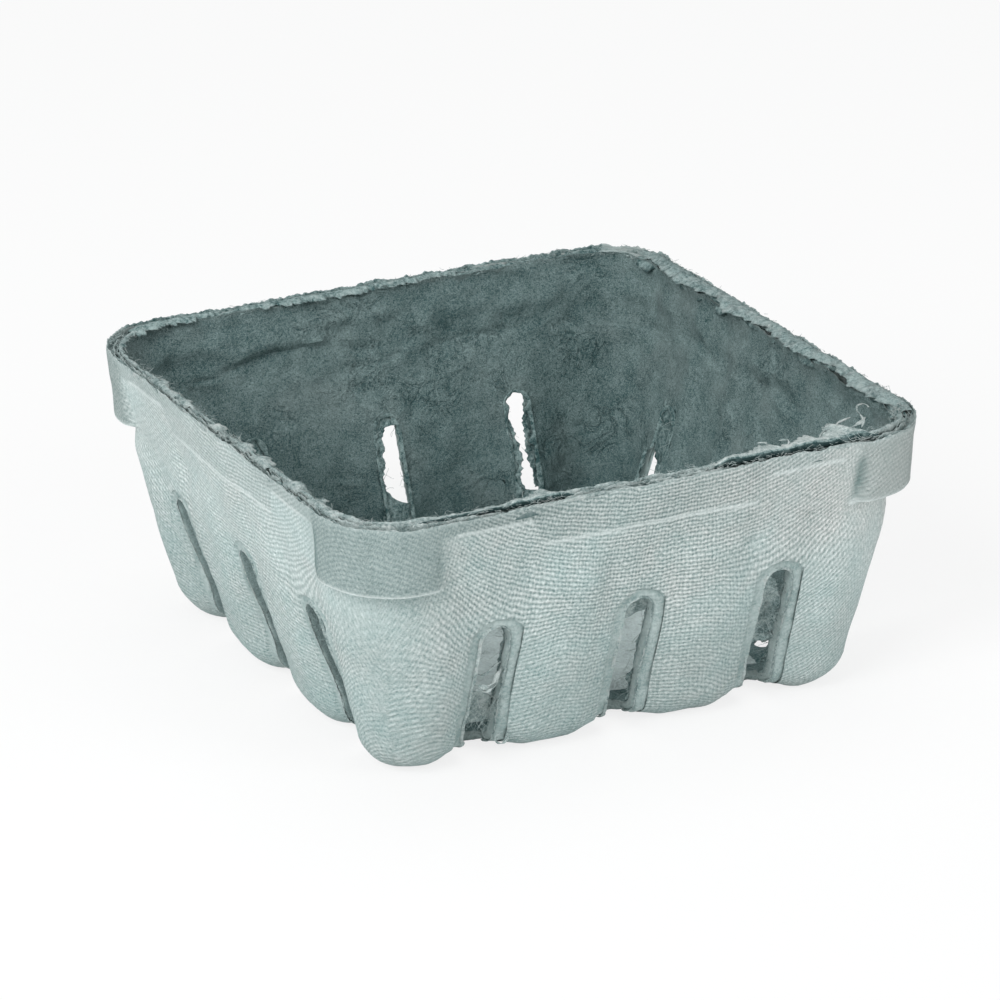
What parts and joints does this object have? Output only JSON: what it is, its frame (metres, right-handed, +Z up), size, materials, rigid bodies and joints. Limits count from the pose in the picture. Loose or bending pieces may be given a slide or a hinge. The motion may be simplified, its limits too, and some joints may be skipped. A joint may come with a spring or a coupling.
{
  "type": "berry basket",
  "caption": "Square tapered basket moulded from pulp, with stacking lugs round its corners and arched air slots that wrap under the base edge.",
  "frame": {"origin": "middle of the underside, on the surface that the basket stands on", "axes": "+Z up through the open top; the front wall faces -Y"},
  "size_m": [0.127, 0.127, 0.057],
  "materials": {
    "pulp": "rough green-grey moulded pulp with a wire screen's weave pressed into its outer face"
  },
  "bodies": {
    "root": {"moulded_basket": "pulp"}
  },
  "joints": []
}
